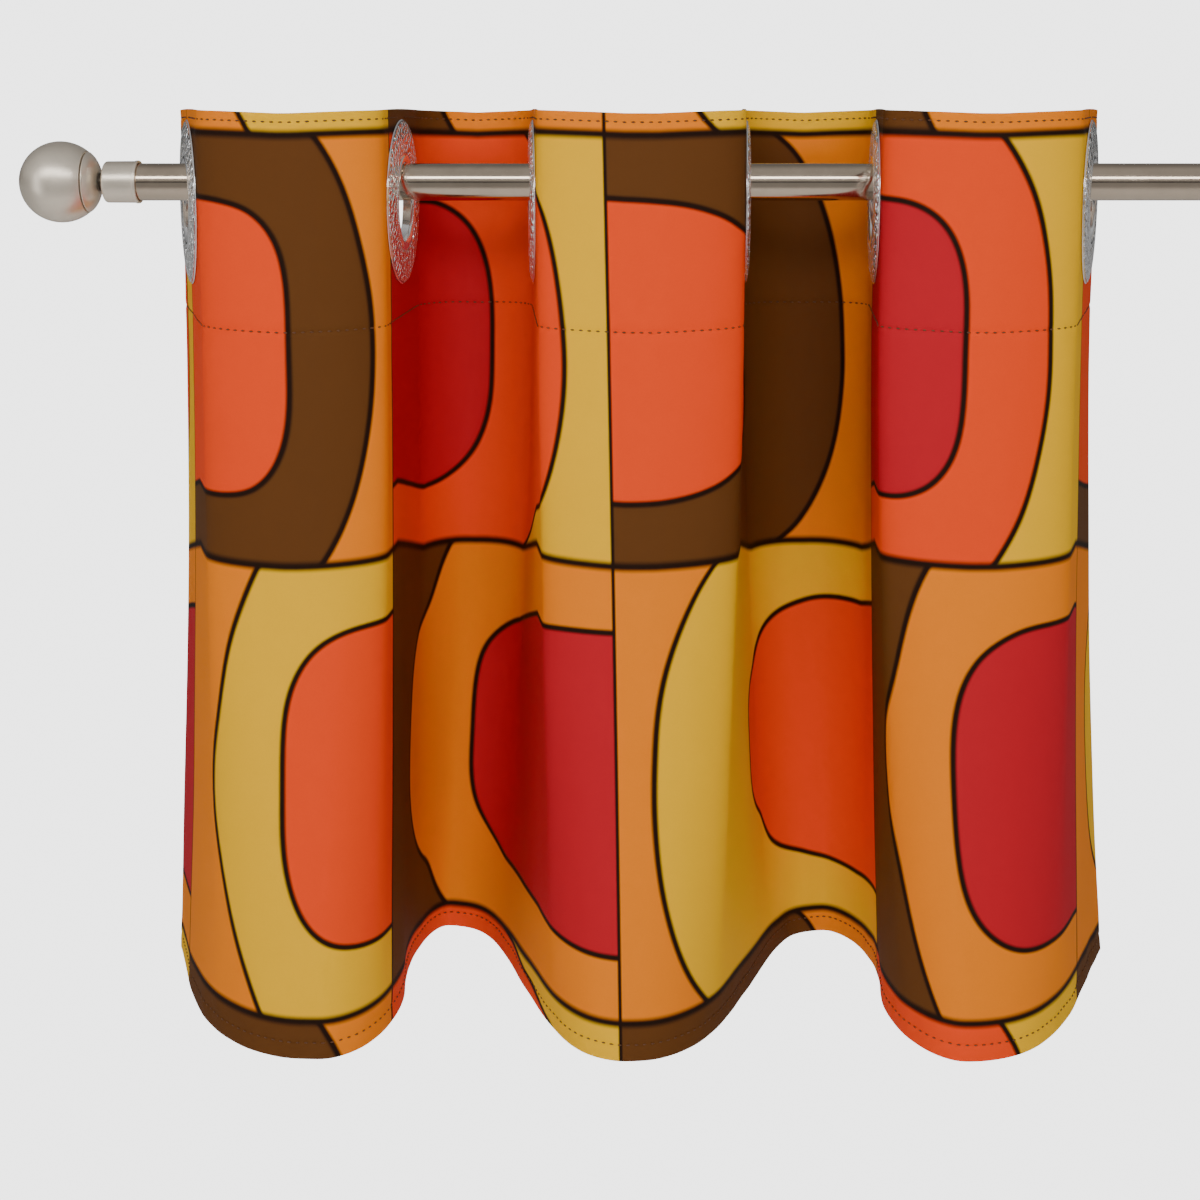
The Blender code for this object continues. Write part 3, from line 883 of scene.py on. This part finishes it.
def rounded(outline, closed):
    # outline is a list of (distance along, radius, corner rounding)
    line = []
    count = len(outline)
    for k, (along, radius, corner) in enumerate(outline):
        here = np.array((along, radius))
        if corner <= 0 or (not closed and k in (0, count - 1)):
            line.append(tuple(here))
            continue
        before = np.array(outline[k - 1][:2]) - here
        after = np.array(outline[(k + 1) % count][:2]) - here
        reach = min(corner, 0.45 * np.linalg.norm(before), 0.45 * np.linalg.norm(after))
        a = here + before / np.linalg.norm(before) * reach
        b = here + after / np.linalg.norm(after) * reach
        for t in (0, 0.2, 0.4, 0.6, 0.8, 1):
            line.append(tuple(a * (1 - t) ** 2 + here * 2 * t * (1 - t) + b * t * t))
    return line


def turnedPiece(name, outline, closed, finish, place, steps=112, turn=0.0, sharp=28):
    shape = bmesh.new()
    line = rounded(outline, closed)
    points = [shape.verts.new((along, 0, radius)) for along, radius in line]
    for first, second in zip(points, points[1:]):
        shape.edges.new((first, second))
    if closed:
        shape.edges.new((points[-1], points[0]))
    parts = shape.verts[:] + shape.edges[:]
    bmesh.ops.spin(shape, geom=parts, cent=(0, 0, 0), axis=(1, 0, 0), angle=math.tau, steps=steps, use_merge=True)
    bmesh.ops.remove_doubles(shape, verts=shape.verts, dist=1e-7)
    bmesh.ops.dissolve_degenerate(shape, dist=1e-8, edges=shape.edges)
    bmesh.ops.recalc_face_normals(shape, faces=shape.faces)
    ringMap = shape.loops.layers.uv.new("ringMap")
    for face in shape.faces:
        for loop in face.loops:
            loop[ringMap].uv = (math.hypot(loop.vert.co.y, loop.vert.co.z), loop.vert.co.x)
    spot = Matrix.Translation(place) @ Matrix.Rotation(math.radians(turn), 4, "Z")
    bmesh.ops.transform(shape, verts=shape.verts, matrix=spot)
    piece = addPiece(name, shape, finish)
    piece.data.set_sharp_from_angle(angle=math.radians(sharp))
    return piece


def stand(piece, slotName, body, *nodes):
    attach(piece, body)
    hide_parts(*nodes)
    return piece


# ---- the eyelets

eyeletSettings = {
    "bore": 0.0200,
    "outer": 0.0420,
    "barrelWall": 0.0016,
    "crown": 0.0033,  # from the middle of the cloth
    "under": (0.0006, 0.0010),  # of the front and back flange, from the middle of the cloth
}


def makeEyelets(s):
    bore, outer, crown = s["bore"], s["outer"], s["crown"]
    barrel = bore + s["barrelWall"]
    flange = [
        (crown - 0.0001, bore + 0.0033, 0.0008),
        (crown - 0.0011, bore + 0.0044, 0.0008),  # groove between the smooth rim and the hammered band
        (crown - 0.0002, bore + 0.0056, 0.0010),
        (crown, bore + 0.0095, 0.0030),
        (crown - 0.0003, outer - 0.0055, 0.0040),
        (crown - 0.0013, outer - 0.0012, 0.0018),
    ]
    for number, center in enumerate(eyeletCenters, 1):
        facing = -1 if number % 2 else 1
        for sideName, side, under in (("front", facing, s["under"][0]), ("back", -facing, s["under"][1])):
            outline = flange + [(under + 0.0004, outer, 0.0006), (under, outer - 0.0003, 0.0002)]
            if sideName == "front":
                barrelEnd = 0.0004 - crown
                mouth = [(crown - 0.0012, bore, 0.0014), (crown - 0.0001, bore + 0.0014, 0.0012)]
                outline = [(barrelEnd, bore, 0.0003)] + mouth + outline
                outline += [(under, barrel, 0.0002), (barrelEnd, barrel, 0.0003)]
            else:
                outline = [(under, barrel + 0.0003, 0.0002), (crown - 0.0008, barrel + 0.0003, 0.0005)] + outline
            profile = [(side * along, radius, corner) for along, radius, corner in outline]
            turn = clothSettings["eyeletTurn"][number - 1]
            name = f"eyelet{number}{sideName.title()}"
            ring = turnedPiece(name, profile, True, hammeredChrome, center, 192, turn)
            stand(ring, "hammered_chrome", f"eyelet_{number}", f"eyelet_{number}_{sideName}_ring")


makeEyelets(eyeletSettings)
print("eyelets are set")


# ---- the rod and its finials

rodSettings = {"wall": 0.0010, "edge": 0.0003}
finialSettings = {
    "ballRadius": 0.0207,
    "ballCenter": 0.0400,  # from the collar's open end
    "ballWall": 0.0012,
    "seam": 0.0265,
    "seamGap": 0.0003,
    "neck": (0.0178, 0.0202),
    "neckRadius": 0.0050,
    "studRadius": 0.0030,
    "collar": 0.0175,
    "collarRadius": 0.01065,
    "lipRadius": 0.01095,
    "lip": 0.0016,
    "endWall": 0.0020,
}


def makeRod(s):
    radius = (rodHigh.z - rodLow.z) / 2
    bore = radius - s["wall"]
    edge = s["edge"]
    outline = [(rodLow.x, bore, edge), (rodLow.x, radius, edge), (rodHigh.x, radius, edge), (rodHigh.x, bore, edge)]
    rod = turnedPiece("rodTube", outline, True, polishedNickel, rodAxis, 128)
    stand(rod, "polished_nickel", "rod", "rod_tube")


def makeRodEnd(side, direction, s):
    low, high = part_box(f"{side}_collar")
    lip = Vector((high.x if direction < 0 else low.x, rodAxis.y, rodAxis.z))
    tube = (rodHigh.z - rodLow.z) / 2 + 0.0003
    hole = s["studRadius"] + 0.0003
    neckFrom, neckTo = s["neck"]
    seam, gap, middle, ball = s["seam"], s["seamGap"] / 2, s["ballCenter"], s["ballRadius"]

    def out(outline):
        return [(direction * along, radius, corner) for along, radius, corner in outline]

    collar = [
        (0.0, tube, 0.0002), (0.0, s["lipRadius"], 0.0004), (s["lip"], s["lipRadius"], 0.0003),
        (s["lip"] + 0.0001, s["collarRadius"] - 0.0001, 0.0002), (s["lip"] + 0.0006, s["collarRadius"], 0.0004),
        (s["collar"] - 0.0002, s["collarRadius"] - 0.0001, 0.0024),
        (s["collar"], s["collarRadius"] - 0.0035, 0.0010),
        (s["collar"], hole, 0.0003), (s["collar"] - s["endWall"], hole, 0), (s["collar"] - s["endWall"], tube, 0),
    ]
    piece = turnedPiece(f"{side}Collar", out(collar), True, satinNickel, lip)
    stand(piece, "satin_nickel", "rod", f"{side}_collar")
    capStart = neckTo + 0.0003
    capEnd = seam - gap
    cap = [
        (capStart, hole, 0), (capStart, 0.0060, 0.0004), (capStart + 0.0012, 0.0101, 0.0022),
        (capStart + 0.0032, 0.0134, 0.0030), (capEnd - 0.0006, 0.0154, 0.0004), (capEnd, 0.0149, 0.0004),
        (capEnd, 0.0139, 0), (capStart + 0.0040, 0.0118, 0), (capStart + 0.0022, 0.0088, 0),
        (capStart + 0.0014, hole, 0),
    ]
    piece = turnedPiece(f"{side}FinialCap", out(cap), True, satinNickel, lip)
    stand(piece, "satin_nickel", f"{side}_finial", f"{side}_finial_cap")
    stud, waist = s["studRadius"], s["neckRadius"] - 0.0009
    neck = [
        (-0.004, 0, 0), (-0.004, stud, 0.0004), (neckFrom, stud, 0), (neckFrom, s["neckRadius"], 0.0005),
        ((neckFrom + neckTo) / 2, waist, 0.0010), (neckTo, s["neckRadius"], 0.0005),
        (neckTo, stud, 0), (seam, stud, 0.0004), (seam, 0, 0),
    ]
    # the neck's near-black colour is painted shade in its waist between collar and cap
    piece = turnedPiece(f"{side}FinialStud", out(neck), False, neckShadeNickel, lip, 64)
    stand(piece, "zinc_steel", f"{side}_finial", f"{side}_finial_stud")
    rim = seam + gap
    first = math.acos((rim + 0.0007 - middle) / ball)
    arc = [(middle + ball * math.cos(first * k / 60), ball * math.sin(first * k / 60), 0) for k in range(61)]
    inner = ball - s["ballWall"]
    last = math.acos((rim - middle) / inner)
    hollow = [(middle + inner * math.cos(last * k / 30), inner * math.sin(last * k / 30), 0) for k in range(31)]
    edge = [(rim, ball * math.sin(first) - 0.0005, 0)]
    piece = turnedPiece(f"{side}FinialBall", out(arc + edge + hollow[::-1]), False, satinNickel, lip, 128)
    stand(piece, "satin_nickel", f"{side}_finial", f"{side}_finial_ball")


makeRod(rodSettings)
makeRodEnd("left", -1, finialSettings)
makeRodEnd("right", 1, finialSettings)
print("rod and finials are turned")


# ---- the wall brackets and their screws

bracketSettings = {
    "plate": (0.030, 0.064, 0.004),
    "plateCorner": 0.007,
    "plateEdge": 0.0009,
    "hole": 0.0023,
    "armSide": 0.010,
    "armCorner": 0.002,
    "armEdge": 0.0008,
    "cradleWidth": 0.014,
    "cradleWall": 0.0030,
    "cradleBore": 0.0098,
    "cradleLip": 0.004,
    "cradleEdge": 0.0006,
    "screwHole": 0.0028,  # for the thumb screw, through the cradle and the arm
}
thumbSettings = {
    "radius": 0.0075,
    "height": 0.005,
    "flutes": 12,
    "scallop": 0.0008,
    "shank": 0.0025,
    "top": -0.0065,
    "edge": 0.0005,
}
wallScrewSettings = {
    "head": 0.0042,
    "headHeight": 0.0024,
    "shank": 0.0020,
    "core": 0.00155,
    "point": 0.006,
    "pitch": 0.0015,
    "slot": 0.0009,
    "slotDeep": 0.0012,
}


def sharpEdges(shape, degrees):
    return [e for e in shape.edges if len(e.link_faces) == 2 and e.calc_face_angle() > math.radians(degrees)]


def prism(outline, travel, edge=0.0, segments=3):
    # outline is a list of 3-D points in one plane; its sharp rims are eased
    shape = bmesh.new()
    face = shape.faces.new([shape.verts.new(point) for point in outline])
    grown = bmesh.ops.extrude_face_region(shape, geom=[face])
    moved = [item for item in grown["geom"] if isinstance(item, bmesh.types.BMVert)]
    bmesh.ops.translate(shape, verts=moved, vec=travel)
    bmesh.ops.recalc_face_normals(shape, faces=shape.faces)
    if edge:
        bmesh.ops.bevel(shape, geom=sharpEdges(shape, 40), offset=edge, offset_type="OFFSET", affect="EDGES",
                        segments=segments, profile=0.5, material=-1)
    return shape


def roundedRectangle(width, height, corner, steps):
    points = []
    for quarter, (across, up) in enumerate([(1, 1), (-1, 1), (-1, -1), (1, -1)]):
        for step in range(steps + 1):
            angle = math.radians(90 * (quarter + step / steps))
            x = across * (width / 2 - corner) + corner * math.cos(angle)
            z = up * (height / 2 - corner) + corner * math.sin(angle)
            points.append((x, z))
    return points


def cutWith(piece, *cutters):
    for shape in cutters:
        cutter = addPiece("cutter", shape)
        cut = piece.modifiers.new("cut", "BOOLEAN")
        cut.object = cutter
        bake(piece)
        bpy.data.objects.remove(cutter, do_unlink=True)
    return piece


def rod3d(radius, length, center, axis, steps=48):
    shape = bmesh.new()
    turn = Vector((0, 0, 1)).rotation_difference(Vector(axis)).to_matrix().to_4x4()
    bmesh.ops.create_cone(shape, cap_ends=True, segments=steps, radius1=radius, radius2=radius, depth=length,
                          matrix=Matrix.Translation(center) @ turn)
    return shape


def facetShade(piece, degrees=30):
    piece.data.shade_smooth()
    piece.data.set_sharp_from_angle(angle=math.radians(degrees))
    return piece


def makePlate(side, x, s):
    width, height, thick = s["plate"]
    outline = [(x + across, 0, up) for across, up in roundedRectangle(width, height, s["plateCorner"], 10)]
    plate = addPiece(f"{side}WallPlate", prism(outline, (0, -thick, 0), s["plateEdge"]), satinNickel)
    screws = [middleOf(f"{side}_wall_screw_{end}") for end in ("lower", "upper")]
    holes = [rod3d(s["hole"], 4 * thick, (x, -thick / 2, screw.z), (0, 1, 0)) for screw in screws]
    facetShade(cutWith(plate, *holes))
    stand(plate, "satin_nickel", "brackets", f"{side}_wall_plate")


def makeArm(side, x, s):
    low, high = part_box(f"{side}_bracket_arm")
    section = roundedRectangle(s["armSide"], s["armSide"], s["armCorner"], 6)
    outline = [(x + across, high.y, up) for across, up in section]
    arm = addPiece(f"{side}BracketArm", prism(outline, (0, low.y - high.y, 0), s["armEdge"]), satinNickel)
    cutWith(arm, rod3d(s["screwHole"], 3 * s["armSide"], (x, rodAxis.y, 0), (0, 0, 1)))
    stand(facetShade(arm), "satin_nickel", "brackets", f"{side}_bracket_arm")


def makeCradle(side, x, s):
    bore, outer, lip = s["cradleBore"], s["cradleBore"] + s["cradleWall"], s["cradleLip"]
    angles = [math.pi + math.pi * step / 40 for step in range(41)]
    line = [(outer * math.cos(a), outer * math.sin(a)) for a in angles] + [(outer, lip), (bore, lip)]
    line += [(bore * math.cos(a), bore * math.sin(a)) for a in reversed(angles)] + [(-bore, lip), (-outer, lip)]
    outline = [(x - s["cradleWidth"] / 2, rodAxis.y + across, rodAxis.z + up) for across, up in line]
    cradle = addPiece(f"{side}RodCradle", prism(outline, (s["cradleWidth"], 0, 0), s["cradleEdge"]), satinNickel)
    cutWith(cradle, rod3d(s["screwHole"], 4 * s["cradleWall"], (x, rodAxis.y, rodAxis.z - outer), (0, 0, 1)))
    stand(facetShade(cradle), "satin_nickel", "brackets", f"{side}_rod_cradle")


def makeThumbScrew(side, x, s):
    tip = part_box(f"{side}_thumb_screw")[1].z
    steps = s["flutes"] * 8
    top, bottom = s["top"], s["top"] - s["height"]
    rim = []
    for k in range(steps):
        angle = math.tau * k / steps
        radius = s["radius"] - s["scallop"] * (0.5 - 0.5 * math.cos(angle * s["flutes"]))
        rim.append((x + radius * math.cos(angle), rodAxis.y + radius * math.sin(angle), bottom))
    head = prism(rim, (0, 0, top - bottom), s["edge"])
    neck = turnedShank(s["shank"], top - 0.0005, tip, 0.0008)
    bmesh.ops.transform(neck, verts=neck.verts, matrix=Matrix.Translation((x, rodAxis.y, 0)))
    screw = addPiece(f"{side}ThumbScrew", head, satinNickel)
    shank = addPiece("shank", neck, satinNickel)
    join = screw.modifiers.new("join", "BOOLEAN")
    join.operation = "UNION"
    join.object = shank
    bake(screw)
    bpy.data.objects.remove(shank, do_unlink=True)
    stand(facetShade(screw), "satin_nickel", f"{side}_thumb_screw", f"{side}_thumb_screw")


def turnedShank(radius, start, end, pitch):
    # threaded rod along Z
    line = [(0, start)]
    count = int((end - start) / pitch)
    for k in range(count):
        root, crest, crestEnd = (start + pitch * (k + share) for share in (0.05, 0.55, 0.65))
        line += [(radius - 0.00035, root), (radius, crest), (radius, crestEnd)]
    line += [(radius - 0.0004, end), (0, end)]
    shape = bmesh.new()
    points = [shape.verts.new((r, 0, z)) for r, z in line]
    for first, second in zip(points, points[1:]):
        shape.edges.new((first, second))
    parts = shape.verts[:] + shape.edges[:]
    bmesh.ops.spin(shape, geom=parts, cent=(0, 0, 0), axis=(0, 0, 1), angle=math.tau, steps=40, use_merge=True)
    bmesh.ops.remove_doubles(shape, verts=shape.verts, dist=1e-7)
    bmesh.ops.recalc_face_normals(shape, faces=shape.faces)
    return shape


def makeWallScrew(side, end, s):
    node = f"{side}_wall_screw_{end}"
    low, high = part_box(node)
    place = (low + high) / 2
    headBack = low.y + s["headHeight"]
    angles = np.linspace(0, math.pi / 2, 14)
    dome = [(low.y + s["headHeight"] * (1 - math.cos(a)), s["head"] * math.sin(a), 0) for a in angles]
    outline = dome + [(headBack + 0.0001, s["head"], 0), (headBack + 0.0002, s["shank"], 0)]
    threads = int((high.y - s["point"] - headBack) / s["pitch"])
    for k in range(2, threads):
        root, crest, crestEnd = (headBack + s["pitch"] * (k + share) for share in (0, 0.55, 0.68))
        outline += [(root, s["core"], 0), (crest, s["shank"], 0), (crestEnd, s["shank"], 0)]
    outline += [(high.y - s["point"], s["core"], 0), (high.y, 0, 0)]
    screw = turnedPiece(f"{side}WallScrew{end.title()}", outline, False, zincSteel, (0, 0, 0), 40, 90)
    screw.data.transform(Matrix.Translation((place.x, 0, place.z)))
    for turn in (20, 110):
        blade = bmesh.new()
        size = Matrix.Diagonal((s["head"] * 1.25, 2 * s["slotDeep"], s["slot"], 1))
        spin = Matrix.Rotation(math.radians(turn), 4, "Y")
        bmesh.ops.create_cube(blade, size=1, matrix=Matrix.Translation((place.x, low.y, place.z)) @ spin @ size)
        cutWith(screw, blade)
    stand(facetShade(screw), "zinc_steel", "brackets", node)


def makeBracket(side, s):
    x = middleOf(f"{side}_bracket_arm").x
    makePlate(side, x, s)
    makeArm(side, x, s)
    makeCradle(side, x, s)
    makeThumbScrew(side, x, thumbSettings)
    for end in ("lower", "upper"):
        makeWallScrew(side, end, wallScrewSettings)
    plug = bpy.data.objects[f"{side}_threaded_plug"]
    plug.data.materials.clear()
    plug.data.materials.append(zincSteel)


makeBracket("left", bracketSettings)
makeBracket("right", bracketSettings)
print("brackets are made")
